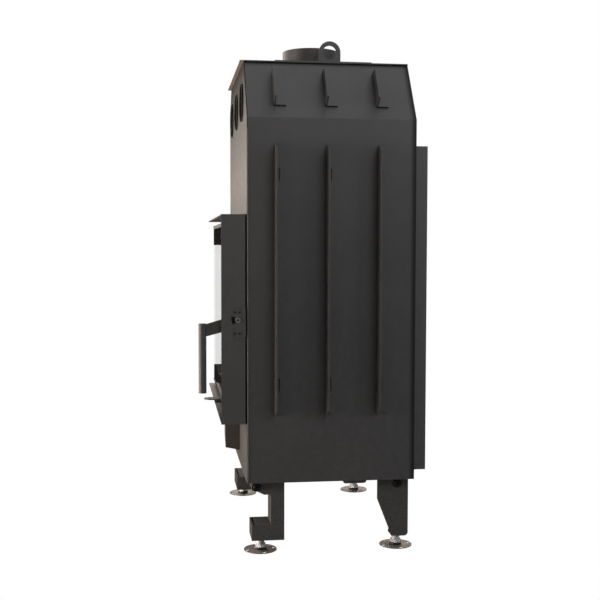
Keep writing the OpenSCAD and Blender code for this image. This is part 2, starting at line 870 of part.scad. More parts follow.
damper_half = 78;
module air_slider() {
  tab_z = sur_z0 + sheet + tab_gap;
  nose = tab_w / 2;
  nose_y = sur_front - tab_reach + nose;
  color("#4a4643") placed() difference() {
    union() {
      block([air_mid - nose, nose_y, tab_z], [air_mid + nose, stem_y0 + stem_d, tab_z + tab_t]);
      translate([air_mid, nose_y, tab_z]) cylinder(h = tab_t, r = nose);
      block([air_mid - stem_w / 2, stem_y0, damper_z0], [air_mid + stem_w / 2, stem_y0 + stem_d, tab_z]);
      block([air_mid - damper_half, damper_y0, damper_z0],
        [air_mid + damper_half, -seat_clear, damper_z0 + damper_t]);
    }
    vent_row(damper_z0 - over, damper_z0 + damper_t + over);
  }
}

// Side outline of a front leg: a C that opens forwards, on a box with a slotted top for the foot
front_web = 35;
tray_slot = 4;
bracket_h = 26;
bracket_drop = 12;
bracket_nose = 8;
bracket_flat = 18;
module front_leg_outline(inset) {
  y0 = leg_front_y + inset;
  y1 = leg_front_end - inset;
  yw = leg_front_end - front_web + inset;
  z0 = leg_low + inset;
  z1 = leg_low + tray_h - inset;
  zb = body_low - bracket_h + inset;
  polygon([
    [y0, z0], [y1, z0], [y1, body_low - inset], [y0, body_low - inset], [y0, zb],
    [leg_front_y + bracket_nose, zb], [yw - bracket_flat, zb - bracket_drop], [yw, zb - bracket_drop],
    [yw, z1], [y0, z1]
  ]);
}

nut_h = 16;
nut_d = 38;
stud_clear = 0.1;
module nut_boss(x, y) {
  translate([x, y, leg_low]) cylinder(h = nut_h, d = nut_d);
}

module stud_bore(x, y) {
  translate([x, y, 0]) cylinder(h = leg_low + nut_h + over, r = stud_d / 2 + stud_clear);
}

module front_leg(x0, x1, foot_x) {
  tray_z = leg_low + tray_h;
  difference() {
    side_view(x0, x1) front_leg_outline(0);
    difference() {
      side_view(x0 + leg_t, x1 - leg_t) front_leg_outline(leg_t);
      nut_boss(foot_x, foot_front_y);
    }
    block([x0 + leg_t, leg_front_y + leg_t, tray_z - leg_t],
      [x1 - leg_t, leg_front_y + leg_t + tray_slot, tray_z + over]);
    stud_bore(foot_x, foot_front_y);
  }
}

module front_leg_right() {
  color("#3a3936") placed() front_leg(-leg_in - leg_w, -leg_in, foot_x_right);
}

module front_leg_left() {
  color("#3a3936") placed() front_leg(left_x, left_x + leg_left_w, foot_x_left);
}

// Side outline of a back leg, tapering from a wide top to the sole
rear_top = 60;
rear_knee = 58;
rear_round = 10;
module rear_leg_outline(y0, y1) {
  top_y = foot_rear_y - rear_top;
  intersection() {
    polygon([[top_y, body_low], [top_y, body_low - rear_knee], [y0, leg_low], [y1, leg_low], [y1, body_low]]);
    union() {
      translate([y1 - rear_round, leg_low + rear_round]) circle(rear_round);
      translate([top_y, leg_low]) square([y1 - top_y - rear_round, body_low]);
      translate([top_y, leg_low + rear_round]) square([y1 - top_y, body_low]);
    }
  }
}

// Back leg bent from plate: side plate, sole, back flange and top flange, with its outer face at x
module rear_leg(x, inward, y0, y1, foot_x) {
  x_in = x + inward * sole_w;
  xs = [min(x, x_in), max(x, x_in)];
  difference() {
    union() {
      intersection() {
        side_view(xs[0], xs[1]) rear_leg_outline(y0, y1);
        union() {
          side_view(min(x, x + inward * leg_t), max(x, x + inward * leg_t)) rear_leg_outline(y0, y1);
          block([xs[0], y0, leg_low], [xs[1], y1, leg_low + leg_t]);
          block([xs[0], y1 - leg_t, leg_low], [xs[1], y1, body_low]);
          block([xs[0], foot_rear_y - rear_top, body_low - leg_t], [xs[1], y1, body_low]);
        }
      }
      nut_boss(foot_x, foot_rear_y);
    }
    stud_bore(foot_x, foot_rear_y);
  }
}

// The right sole's inner corner is cut off
toe_right = 20.5;
heel_right = 23;
sole_cut_w = 40;
sole_cut_d = 15;
module rear_leg_right() {
  x_in = -leg_in - sole_w;
  y0 = foot_rear_y - toe_right;
  color("#3a3936") placed() difference() {
    rear_leg(-leg_in, -1, y0, foot_rear_y + heel_right, foot_x_right);
    translate([0, 0, leg_low - over]) linear_extrude(leg_t + 2 * over)
      polygon([[x_in, y0 - over], [x_in + sole_cut_w, y0 - over], [x_in, y0 + sole_cut_d]]);
  }
}

toe_left = 42;
module rear_leg_left() {
  color("#3a3936") placed() rear_leg(left_x, 1, foot_rear_y - toe_left, case_d, foot_x_left);
}

bolt_head_d = 14;
bolt_head_h = 4;
washer_d = 24;
washer_t = 2;
bolt_drop = 17;
bolt_front = 11;
bolt_rear = 7;
module leg_bolt(x, side, y) {
  z = body_low - bolt_drop;
  ends = [x + side * washer_t, x + side * (washer_t + bolt_head_h)];
  bar_x(min(x, ends[0]), max(x, ends[0]), y, z, washer_d / 2);
  bar_x(min(ends), max(ends), y, z, bolt_head_d / 2);
}

module leg_bolts() {
  color("#232324") placed()
    for (y = [leg_front_y + bolt_front, foot_rear_y - bolt_rear]) {
      leg_bolt(-leg_in, 1, y);
      leg_bolt(left_x, -1, y);
    }
}

module door_band(out_x, out_y, z0, z1) {
  corner_band(out_x, out_y, door_sheet, door_right - door_sheet, stile_y0, z0, z1);
}

module door_web(z0) {
  corner_plate(door_face_x, door_face_y, flange_x, flange_y, door_right - door_sheet, stile_y0,
    z0, z0 + door_sheet);
}

module door_top_rail() {
  color("#6d655f") placed() {
    door_web(door_z1 - door_sheet);
    door_band(door_face_x, door_face_y, door_z1 - lip_top, door_z1 - door_sheet);
    door_band(flange_x, flange_y, door_z1 - flange_h, door_z1);
  }
}

module door_bottom_rail() {
  color("#6d655f") placed() {
    door_web(door_z0);
    door_band(door_face_x, door_face_y, door_z0 + door_sheet, door_z0 + lip_low);
    door_band(flange_x, flange_y, door_z0, door_z0 + flange_h);
  }
}

module door_right_stile() {
  color("#333336") placed() {
    block([door_right - door_sheet, door_face_y, door_z0], [door_right, flange_y + door_sheet, door_z1]);
    block([door_right - flange_h, flange_y, door_z0 + flange_h],
      [door_right - door_sheet, flange_y + door_sheet, door_z1 - flange_h]);
  }
}

module door_rear_stile() {
  x1 = door_face_x + stile_w;
  bore = hinge_pin_d + 2 * pin_clear;
  color("#333336") placed() difference() {
    block([door_face_x, stile_y0, door_z0], [x1, stile_y1, door_z1]);
    block([door_face_x + door_sheet, stile_y0 + door_sheet, door_z0 + hinge_block_h],
      [x1 - door_sheet, stile_y1 - door_sheet, door_z1 - hinge_block_h]);
    for (z = [door_z0 - over, door_z1 - hinge_block_h - over])
      translate([hinge_x, hinge_y, z]) cylinder(h = hinge_block_h + 2 * over, d = bore);
  }
}

pane_gap = 0.5;
pane_z0 = door_z0 + lip_low + pane_gap;
pane_z1 = door_z1 - lip_top - pane_gap;
pane_set = 1;
pane_x = door_face_x + pane_set;
pane_y = door_face_y + pane_set;
module front_glass() {
  color("#dfe3e4", 0.4) placed()
    block([pane_x, pane_y, pane_z0], [door_right - 2 * door_sheet, pane_y + glass_t, pane_z1]);
}

module side_glass() {
  color("#dfe3e4", 0.4) placed()
    block([pane_x, pane_y + glass_t + pane_gap, pane_z0], [pane_x + glass_t, stile_y0 - pane_gap, pane_z1]);
}

seal_in = 14;
module door_seal() {
  y0 = flange_y + door_sheet;
  x0 = flange_x + door_sheet;
  x_end = door_right - seal_in;
  y_end = stile_y0 - seal_w;
  z0 = door_z0 + seal_in;
  z1 = door_z1 - seal_in;
  color("#5b5a57") placed() {
    corner_band(x0, y0, seal_t, x_end, y_end, z1 - seal_w, z1);
    corner_band(x0, y0, seal_t, x_end, y_end, z0, z0 + seal_w);
    block([x_end - seal_w, y0, z0 + seal_w], [x_end, y0 + seal_t, z1 - seal_w]);
    block([x0, y_end - seal_w, z0 + seal_w], [x0 + seal_t, y_end, z1 - seal_w]);
  }
}

clip_w = 24;
clip_h = 16;
clip_in_share = 0.25;
clip_side_share = 0.7;
module glass_clips() {
  y0 = pane_y + glass_t;
  x0 = pane_x + glass_t;
  span = door_right - door_face_x;
  color("#777776") placed()
    for (z = [door_z0 + flange_h - clip_h, door_z1 - flange_h]) {
      for (share = [clip_in_share, 1 - clip_in_share])
        translate([door_face_x + span * share, 0, z]) block([0, y0, 0], [clip_w, flange_y, clip_h]);
      translate([0, door_face_y + (stile_y0 - door_face_y) * clip_side_share, z])
        block([x0, 0, 0], [flange_x, clip_w, clip_h]);
    }
}

pivot_boss_d = 14;
pivot_head_t = 3.5;
module handle_pivot() {
  x0 = lever_x0 - pane_gap;
  x1 = lever_x0 + lever_t + pane_gap;
  color("#747475") placed() {
    bar_x(door_right, x0, pivot_y, pivot_h, pivot_boss_d / 2);
    bar_x(x0, x1, pivot_y, pivot_h, pivot_d / 2);
    bar_x(x1, x1 + pivot_head_t, pivot_y, pivot_h, pivot_boss_d / 2);
  }
}

// Lever in side view: arm from the grip to the pivot, web under the roller, finger behind it
arm_drop = 4;
arm_rise = 5;
finger_up = 1.5;
finger_down = 36;
web_from = 78;
module sector(r, a0, a1) {
  reach = 2 * r;
  intersection() {
    circle(r);
    polygon([[0, 0], reach * [cos(a0), sin(a0)], reach * [cos((a0 + a1) / 2), sin((a0 + a1) / 2)],
      reach * [cos(a1), sin(a1)]]);
  }
}

module lever_outline() {
  arm = pivot_y - grip_y;
  translate([pivot_y, pivot_h]) difference() {
    union() {
      circle(hub_r);
      polygon([
        [-arm, -arm_drop], [-arm, -arm_drop - lever_h], [0, -hub_r - arm_rise], [0, hub_r], [-hub_r, hub_r]
      ]);
      difference() {
        sector(finger_r + finger_t, -finger_down, finger_up);
        circle(finger_r);
      }
      sector(finger_r + finger_t, -web_from, -finger_down);
    }
    circle(pivot_d / 2 + pin_clear);
  }
}

module handle_lever() {
  color("#57524d") placed() side_view(lever_x0, lever_x0 + lever_t) lever_outline();
}

tongue_clear = 0.05;
module handle_grip() {
  half = lever_t / 2 + tongue_clear;
  slot_z = grip_z1 - arm_drop - lever_h - tongue_clear;
  color("#4e4a47") placed() translate([-lever_in, grip_y, 0]) difference() {
    translate([0, 0, grip_z1 - grip_len]) cylinder(h = grip_len, d = grip_d);
    block([-half, -tongue_clear, slot_z], [half, grip_d, grip_z1 + over]);
  }
}

foot_nut_d = 27;
foot_nut_h = 9;
module stud(x, y) {
  translate([x, y, foot_t]) {
    cylinder(h = stud_len, d = stud_d);
    cylinder(h = collar_h + foot_nut_h, d = foot_nut_d);
    cylinder(h = collar_h, d = collar_d);
  }
}

anchor_turn = 12;
module disc(x, y) {
  translate([x, y, 0]) difference() {
    cylinder(h = foot_t, d = foot_d);
    for (a = [0:90:270])
      rotate(a + anchor_turn) translate([anchor_r, 0, -over]) cylinder(h = foot_t + 2 * over, d = anchor_d);
  }
}

module foot_stud_front_right() {
  color("#b9bbbc") placed() stud(foot_x_right, foot_front_y);
}

module foot_disc_front_right() {
  color("#86807a") placed() disc(foot_x_right, foot_front_y);
}

module foot_stud_front_left() {
  color("#b9bbbc") placed() stud(foot_x_left, foot_front_y);
}

module foot_disc_front_left() {
  color("#86807a") placed() disc(foot_x_left, foot_front_y);
}

module foot_stud_rear_right() {
  color("#b9bbbc") placed() stud(foot_x_right, foot_rear_y);
}

module foot_disc_rear_right() {
  color("#86807a") placed() disc(foot_x_right, foot_rear_y);
}

module foot_stud_rear_left() {
  color("#b9bbbc") placed() stud(foot_x_left, foot_rear_y);
}

module foot_disc_rear_left() {
  color("#86807a") placed() disc(foot_x_left, foot_rear_y);
}

right_wall();
left_wall_upper();
left_wall_lower();
rear_wall();
front_panel();
base_plate();
top_plate();
flue_base();
flue_collar();
lifting_eyes();
wall_ribs();
hood_ribs();
rear_shield();
firebox_side_wall();
firebox_rear_wall();
firebox_floor();
firebox_roof();
lining_right();
lining_rear();
hearth_slab();
grate();
log_guard();
baffle_lower();
baffle_upper();
surround_top();
surround_bottom();
surround_right();
surround_rear();
throat_frame();
latch_plate();
latch_axle();
latch_screws();
latch_roller();
hinge_pins();
air_box();
air_slider();
front_leg_right();
front_leg_left();
rear_leg_right();
rear_leg_left();
leg_bolts();
door_top_rail();
door_bottom_rail();
door_right_stile();
door_rear_stile();
front_glass();
side_glass();
door_seal();
glass_clips();
handle_pivot();
handle_lever();
handle_grip();
foot_stud_front_right();
foot_disc_front_right();
foot_stud_front_left();
foot_disc_front_left();
foot_stud_rear_right();
foot_disc_rear_right();
foot_stud_rear_left();
foot_disc_rear_left();
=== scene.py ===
import json
import math
import bpy
import numpy as np
from mathutils import Matrix, Vector


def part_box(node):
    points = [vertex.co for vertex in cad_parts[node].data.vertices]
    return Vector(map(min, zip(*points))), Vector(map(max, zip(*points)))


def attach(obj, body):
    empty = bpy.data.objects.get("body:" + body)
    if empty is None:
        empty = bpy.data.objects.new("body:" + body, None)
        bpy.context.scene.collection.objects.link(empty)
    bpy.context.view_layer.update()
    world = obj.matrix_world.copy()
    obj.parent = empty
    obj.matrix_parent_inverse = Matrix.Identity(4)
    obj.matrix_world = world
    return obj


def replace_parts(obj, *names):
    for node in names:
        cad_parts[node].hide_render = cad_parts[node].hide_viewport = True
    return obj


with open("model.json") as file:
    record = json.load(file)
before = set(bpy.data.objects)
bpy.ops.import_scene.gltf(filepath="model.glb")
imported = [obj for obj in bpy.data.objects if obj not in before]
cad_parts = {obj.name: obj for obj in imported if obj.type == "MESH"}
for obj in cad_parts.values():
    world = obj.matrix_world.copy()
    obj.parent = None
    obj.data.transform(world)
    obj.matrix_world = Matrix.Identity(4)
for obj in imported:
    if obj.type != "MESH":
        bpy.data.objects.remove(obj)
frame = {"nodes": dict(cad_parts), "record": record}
nodes = frame["nodes"]


def saveSize():
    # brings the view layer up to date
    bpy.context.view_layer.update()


saveSize()
print("stage: frame loaded, nodes:", len(nodes))


# shader helpers: every group takes a place, colours and numbers, and gives a colour, a roughness
# and a height

def newGroup(name, colours, numbers):
    tree = bpy.data.node_groups.new(name, "ShaderNodeTree")
    inputs = [("Vector", "NodeSocketVector")]
    inputs += [(label, "NodeSocketColor") for label in colours]
    inputs += [(label, "NodeSocketFloat") for label in numbers]
    outputs = [("Colour", "NodeSocketColor"), ("Rough", "NodeSocketFloat"), ("Height", "NodeSocketFloat")]
    for label, kind in inputs:
        tree.interface.new_socket(label, in_out="INPUT", socket_type=kind)
    for label, kind in outputs:
        tree.interface.new_socket(label, in_out="OUTPUT", socket_type=kind)
    return tree, tree.nodes.new("NodeGroupInput"), tree.nodes.new("NodeGroupOutput")


def addNode(tree, kind, settings=None, values=None):
    node = tree.nodes.new(kind)
    for key, value in (settings or {}).items():
        setattr(node, key, value)
    for key, value in (values or {}).items():
        node.inputs[key].default_value = value
    return node


def noise(tree, vector, scale, detail, rough):
    node = addNode(tree, "ShaderNodeTexNoise", values={"Scale": scale, "Detail": detail, "Roughness": rough})
    tree.links.new(vector, node.inputs["Vector"])
    return node.outputs["Fac"]


def remap(tree, source, fromLow, fromHigh, toLow, toHigh):
    node = addNode(tree, "ShaderNodeMapRange", values={
        "From Min": fromLow, "From Max": fromHigh, "To Min": toLow, "To Max": toHigh})
    tree.links.new(source, node.inputs["Value"])
    return node.outputs["Result"]


def combine(tree, how, a, b):
    node = addNode(tree, "ShaderNodeMath", {"operation": how})
    for k, item in enumerate((a, b)):
        if isinstance(item, (int, float)):
            node.inputs[k].default_value = item
        else:
            tree.links.new(item, node.inputs[k])
    return node.outputs[0]


# the colour mix node keeps its factor in input 0, its colours in inputs 6 and 7 and its result in output 2
def mixColour(tree, factor, a, b):
    node = addNode(tree, "ShaderNodeMix", {"data_type": "RGBA"})
    tree.links.new(factor, node.inputs[0])
    for socket, item in zip((node.inputs[6], node.inputs[7]), (a, b)):
        if isinstance(item, tuple):
            socket.default_value = (*item, 1.0)
        else:
            tree.links.new(item, socket)
    return node.outputs[2]


# surface groups: noises are scale, detail and roughness, ranges are from low, from high, to low, to high

# powder coat: slow mottling, fine orange peel and a little dust
def makePaintGroup():
    values = {"slow": (5.5, 4.0, 0.55), "middle": (60.0, 4.0, 0.6), "fine": (480.0, 3.0, 0.6),
              "dust": (0.85, 1.35, 0.0, 1.0), "grain": (0.35, 0.65, 0.0, 0.46), "pit": (0.0, 0.0, 0.0),
              "polish": (0.3, 0.7, -0.05, 0.06), "fineHeight": 0.55, "middleHeight": 0.45}
    tree, given, made = newGroup("paintDetail", ("Base", "Dust"), ("Rough", "Amount"))
    vector = given.outputs["Vector"]
    slow = noise(tree, vector, *values["slow"])
    middle = noise(tree, vector, *values["middle"])
    fine = noise(tree, vector, *values["fine"])
    dust = remap(tree, combine(tree, "ADD", slow, middle), *values["dust"])
    dust = combine(tree, "MULTIPLY", dust, given.outputs["Amount"])
    dirty = mixColour(tree, dust, given.outputs["Base"], given.outputs["Dust"])
    shade = mixColour(tree, remap(tree, fine, *values["grain"]), dirty, values["pit"])
    rough = combine(tree, "ADD", given.outputs["Rough"], remap(tree, middle, *values["polish"]))
    height = combine(tree, "ADD", combine(tree, "MULTIPLY", fine, values["fineHeight"]),
                     combine(tree, "MULTIPLY", middle, values["middleHeight"]))
    tree.links.new(shade, made.inputs["Colour"])
    tree.links.new(rough, made.inputs["Rough"])
    tree.links.new(height, made.inputs["Height"])
    return tree


# bare or plated metal: fine brush lines along one axis and cloudy stains
def makeMetalGroup():
    values = {"stretch": (60.0, 60.0, 1400.0), "lines": (1.0, 3.0, 0.55), "cloud": (70.0, 5.0, 0.65),
              "speck": (420.0, 3.0, 0.55), "speckShare": 0.5, "stain": (0.62, 0.95, 0.0, 1.0),
              "stainRough": 0.25, "lineHeight": 0.4, "speckHeight": 0.6}
    tree, given, made = newGroup("metalDetail", ("Base", "Stain"), ("Rough", "Amount"))
    vector = given.outputs["Vector"]
    stretch = addNode(tree, "ShaderNodeMapping", values={"Scale": values["stretch"]})
    tree.links.new(vector, stretch.inputs["Vector"])
    lines = noise(tree, stretch.outputs["Vector"], *values["lines"])
    cloud = noise(tree, vector, *values["cloud"])
    speck = noise(tree, vector, *values["speck"])
    stain = combine(tree, "ADD", cloud, combine(tree, "MULTIPLY", speck, values["speckShare"]))
    stain = combine(tree, "MULTIPLY", remap(tree, stain, *values["stain"]), given.outputs["Amount"])
    rough = combine(tree, "MULTIPLY", stain, values["stainRough"])
    rough = combine(tree, "ADD", given.outputs["Rough"], rough)
    height = combine(tree, "ADD", combine(tree, "MULTIPLY", lines, values["lineHeight"]),
                     combine(tree, "MULTIPLY", speck, values["speckHeight"]))
    stained = mixColour(tree, stain, given.outputs["Base"], given.outputs["Stain"])
    tree.links.new(stained, made.inputs["Colour"])
    tree.links.new(rough, made.inputs["Rough"])
    tree.links.new(height, made.inputs["Height"])
    return tree


# fireclay: sandy grain, pores and soot that thickens with a slow noise
def makeClayGroup():
    values = {"slow": (6.0, 5.0, 0.6), "grain": (260.0, 4.0, 0.7), "poreScale": 180.0,
              "pore": (0.0, 0.22, 1.0, 0.0), "soot": (0.35, 0.75, 0.0, 1.0), "sand": (0.3, 0.7, 0.0, 0.35),
              "sandColour": (0.28, 0.22, 0.15), "poreDark": 0.5, "poreDeep": 0.6}
    tree, given, made = newGroup("clayDetail", ("Base", "Soot"), ("Rough", "Amount"))
    vector = given.outputs["Vector"]
    slow = noise(tree, vector, *values["slow"])
    grain = noise(tree, vector, *values["grain"])
    cells = addNode(tree, "ShaderNodeTexVoronoi", values={"Scale": values["poreScale"]})
    tree.links.new(vector, cells.inputs["Vector"])
    pore = remap(tree, cells.outputs["Distance"], *values["pore"])
    soot = combine(tree, "MULTIPLY", remap(tree, slow, *values["soot"]), given.outputs["Amount"])
    dark = combine(tree, "MAXIMUM", soot, combine(tree, "MULTIPLY", pore, values["poreDark"]))
    sandy = mixColour(tree, remap(tree, grain, *values["sand"]), given.outputs["Base"], values["sandColour"])
    height = combine(tree, "SUBTRACT", grain, combine(tree, "MULTIPLY", pore, values["poreDeep"]))
    tree.links.new(mixColour(tree, dark, sandy, given.outputs["Soot"]), made.inputs["Colour"])
    tree.links.new(given.outputs["Rough"], made.inputs["Rough"])
    tree.links.new(height, made.inputs["Height"])
    return tree


# braided rope: crossing waves along the strip, broken by fibre noise; the dark between the strands is
# painted shade in the grooves
def makeRopeGroup():
    values = {"turn": 0.7, "wave": {"Scale": 120.0, "Distortion": 0.6}, "fibre": (1100.0, 3.0, 0.55),
              "fibreHeight": 0.4}
    tree, given, made = newGroup("ropeDetail", ("Base", "Dark"), ("Rough",))
    vector = given.outputs["Vector"]
    strands = []
    for turn in (values["turn"], -values["turn"]):
        spin = addNode(tree, "ShaderNodeMapping", values={"Rotation": (turn, turn, 0.0)})
        tree.links.new(vector, spin.inputs["Vector"])
        wave = addNode(tree, "ShaderNodeTexWave", values=values["wave"])
        tree.links.new(spin.outputs["Vector"], wave.inputs["Vector"])
        strands.append(wave.outputs["Fac"])
    weave = combine(tree, "MAXIMUM", *strands)
    fibre = noise(tree, vector, *values["fibre"])
    lit = combine(tree, "MULTIPLY", weave, fibre)
    height = combine(tree, "ADD", weave, combine(tree, "MULTIPLY", fibre, values["fibreHeight"]))
    tree.links.new(mixColour(tree, lit, given.outputs["Dark"], given.outputs["Base"]), made.inputs["Colour"])
    tree.links.new(given.outputs["Rough"], made.inputs["Rough"])
    tree.links.new(height, made.inputs["Height"])
    return tree


groups = {"paint": makePaintGroup(), "metal": makeMetalGroup(), "clay": makeClayGroup(),
          "rope": makeRopeGroup()}


# edges mix a tint in along an axis; fades bring a shader value from its most to nothing, by the square
def makeMaterial(name, look):
    material = bpy.data.materials.new(name)
    material.use_nodes = True
    tree = material.node_tree
    shader = tree.nodes["Principled BSDF"]
    place = tree.nodes.new("ShaderNodeTexCoord")
    detail = tree.nodes.new("ShaderNodeGroup")
    detail.node_tree = groups[look["group"]]
    for key, value in look["detail"].items():
        detail.inputs[key].default_value = value
    tree.links.new(place.outputs["Object"], detail.inputs["Vector"])
    bump = addNode(tree, "ShaderNodeBump", values={"Strength": look["bump"], "Distance": look["depth"]})
    tree.links.new(detail.outputs["Height"], bump.inputs["Height"])
    tree.links.new(detail.outputs["Rough"], shader.inputs["Roughness"])
    tree.links.new(bump.outputs["Normal"], shader.inputs["Normal"])
    for key, value in look.get("shader", {}).items():
        shader.inputs[key].default_value = value
    axes = tree.nodes.new("ShaderNodeSeparateXYZ")
    tree.links.new(place.outputs["Object"], axes.inputs["Vector"])
    colour = detail.outputs["Colour"]
    for axis, start, stop, tint in look.get("edges", []):
        colour = mixColour(tree, remap(tree, axes.outputs[axis], start, stop, 0.0, 1.0), colour, tint)
    tree.links.new(colour, shader.inputs["Base Color"])
    for axis, start, stop, key, most in look.get("fades", []):
        share = remap(tree, axes.outputs[axis], start, stop, 1.0, 0.0)
        share = combine(tree, "MULTIPLY", share, share)
        tree.links.new(combine(tree, "MULTIPLY", share, most), shader.inputs[key])
    return material


def paint(base, dust, rough, dusty, bump, depth, shine=0.5, **places):
    return {"group": "paint", "bump": bump, "depth": depth, "shader": {"Specular IOR Level": shine},
            "detail": {"Base": (*base, 1), "Dust": (*dust, 1), "Rough": rough, "Amount": dusty}, **places}


def metal(base, stain, rough, stained, bump, depth, metallic):
    return {"group": "metal", "bump": bump, "depth": depth, "shader": {"Metallic": metallic},
            "detail": {"Base": (*base, 1), "Stain": (*stain, 1), "Rough": rough, "Amount": stained}}


looks = {
    "casingPaint": paint((0.038, 0.0375, 0.0385), (0.062, 0.06, 0.059), rough=0.5, dusty=0.4,
                         bump=0.25, depth=0.0004, shine=0.45),
    "surroundPaint": paint((0.043, 0.042, 0.0425), (0.06, 0.058, 0.056), rough=0.46, dusty=0.3,
                           bump=0.2, depth=0.0003, shine=0.45),
    # rear wall: a near-black copy of the casing paint, painted shade along the casing's rear edge
    "edgeShadedPaint": paint((0.014, 0.011, 0.009), (0.03, 0.024, 0.02), rough=0.6, dusty=0.4,
                       bump=0.25, depth=0.0004, shine=0.2),
    "airPaint": paint((0.05, 0.045, 0.04), (0.07, 0.062, 0.053), rough=0.5, dusty=0.4,
                      bump=0.25, depth=0.0004, shine=0.4),
    "shieldPaint": paint((0.054, 0.053, 0.054), (0.075, 0.073, 0.07), rough=0.5, dusty=0.35,
                         bump=0.25, depth=0.0004, shine=0.45),
    # surround top: a paler, warmer copy of the surround paint; the paleness is painted light on its
    # underside
    "canopyLitPaint": paint((0.085, 0.077, 0.07), (0.11, 0.1, 0.09), rough=0.46, dusty=0.3,
                         bump=0.2, depth=0.0003, shine=0.45),
    "topPaint": paint((0.031, 0.031, 0.031), (0.054, 0.052, 0.05), rough=0.5, dusty=0.4,
                      bump=0.3, depth=0.0004),
    "legPaint": paint((0.048, 0.047, 0.0455), (0.076, 0.071, 0.065), rough=0.55, dusty=0.4,
                      bump=0.25, depth=0.0003, shine=0.08),
    "doorPaint": paint((0.034, 0.033, 0.033), (0.06, 0.057, 0.054), rough=0.4, dusty=0.3,
                       bump=0.15, depth=0.0003),
    "handlePaint": paint((0.042, 0.04, 0.038), (0.07, 0.064, 0.058), rough=0.46, dusty=0.3,
                         bump=0.12, depth=0.0002, shine=0.35),
    "tabPaint": paint((0.034, 0.030, 0.027), (0.06, 0.05, 0.045), rough=0.5, dusty=0.4,
                      bump=0.15, depth=0.0002, shine=0.3),
    "blackPlastic": paint((0.012, 0.012, 0.012), (0.03, 0.028, 0.026), rough=0.45, dusty=0.3,
                          bump=0.15, depth=0.0002),
    "blackEnamel": paint((0.01, 0.01, 0.01), (0.02, 0.019, 0.018), rough=0.5, dusty=0.3,
                         bump=0.12, depth=0.0002, shine=0.2),
    "sootedSteel": metal((0.07, 0.068, 0.066), (0.02, 0.018, 0.016), rough=0.55, stained=0.8,
                         bump=0.3, depth=0.0004, metallic=0.5),
    "castIron": metal((0.06, 0.058, 0.056), (0.09, 0.05, 0.03), rough=0.65, stained=0.35,
                      bump=0.6, depth=0.0008, metallic=0.6),
    "zincSteel": metal((0.5, 0.515, 0.53), (0.42, 0.43, 0.44), rough=0.55, stained=0.4,
                       bump=0.12, depth=0.0002, metallic=0.35),
    "footSteel": metal((0.30, 0.27, 0.245), (0.13, 0.105, 0.085), rough=0.42, stained=0.9,
                       bump=0.25, depth=0.0003, metallic=0.9),
    "turnedSteel": metal((0.42, 0.42, 0.41), (0.2, 0.18, 0.15), rough=0.34, stained=0.5,
                         bump=0.12, depth=0.0002, metallic=1.0),
    "blackSteel": metal((0.05, 0.05, 0.052), (0.09, 0.08, 0.07), rough=0.42, stained=0.4,
                        bump=0.15, depth=0.0002, metallic=0.7),
    "weldSteel": metal((0.07, 0.07, 0.072), (0.04, 0.035, 0.03), rough=0.5, stained=0.6,
                       bump=0.3, depth=0.0004, metallic=0.4),
    "fireclay": {"group": "clay", "bump": 0.5, "depth": 0.0009,
                 "detail": {"Base": (0.58, 0.47, 0.33, 1), "Soot": (0.06, 0.055, 0.05, 1), "Rough": 0.92,
                            "Amount": 0.35}},
    "sealRope": {"group": "rope", "bump": 0.8, "depth": 0.0012,
                 "detail": {"Base": (0.2, 0.195, 0.19, 1), "Dark": (0.05, 0.05, 0.05, 1), "Rough": 0.9}},
}


# looks that change over their node: painted shade along the wall's rear and top edges and at the lower rib
# ends, painted light on the plate's overhanging front, a panel that reflects less towards its top and a sill
# painted lit at the left and shaded at the right
def addPlacedLooks():
    values = {"edge": 0.013, "rear": 0.001, "top": 0.003, "past": 0.012, "ribFrom": 0.0045, "ribTo": 0.0025,
              "lip": 0.001, "panelFrom": 0.957, "panelTo": 1.29, "sillPale": -0.15, "sillDark": 0.12,
              "sillReach": 0.36}
    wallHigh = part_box("right_wall")[1]
    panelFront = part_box("front_panel")[0][1]
    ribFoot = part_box("hood_ribs")[0][2]
    shineKey = "Specular IOR Level"
    wallRear, wallTop = wallHigh[1], wallHigh[2]
    # the wall's rear and top edges are tinted near black: painted shade under the top plate and along the
    # rear edge
    looks["wallShadedPaint"] = {
        **looks["casingPaint"],
        "edges": [("Y", wallRear - values["edge"], wallRear - values["rear"], (0.008, 0.008, 0.008)),
                  ("Z", wallTop - values["edge"], wallTop - values["top"], (0.002, 0.002, 0.002))],
        "fades": [("Y", wallRear - values["edge"], wallRear + values["past"], shineKey, 0.45)]}
    # the lowest few millimetres of the ribs are tinted near black: painted shade under the rib ends
    looks["ribShadedPaint"] = {
        **looks["casingPaint"],
        "edges": [("Z", ribFoot + values["ribFrom"], ribFoot + values["ribTo"], (0.004, 0.004, 0.004))]}
    # the plate's strip in front of the panel is tinted pale beige: painted light on the underside of the
    # overhang
    looks["plateLitPaint"] = {
        **looks["topPaint"],
        "edges": [("Y", panelFront + values["lip"], panelFront - values["lip"], (0.17, 0.15, 0.13))]}
    looks["panelPaint"] = paint(
        (0.036, 0.033, 0.030), (0.06, 0.054, 0.048), rough=0.52, dusty=0.4, bump=0.4, depth=0.0005,
        fades=[("Z", values["panelFrom"], values["panelTo"], shineKey, 0.42)])
    # sill: a pale copy of the surround paint, painted light, with painted shade mixed in towards its
    # right-hand end
    looks["sillLitShadedPaint"] = paint(
        (0.125, 0.107, 0.089), (0.14, 0.122, 0.104), rough=0.46, dusty=0.3, bump=0.2, depth=0.0003,
        edges=[("X", values["sillPale"], values["sillDark"], (0.016, 0.014, 0.012))],
        fades=[("X", -values["sillReach"], values["sillReach"], shineKey, 0.9)])


addPlacedLooks()
materials = {name: makeMaterial(name, look) for name, look in looks.items()}


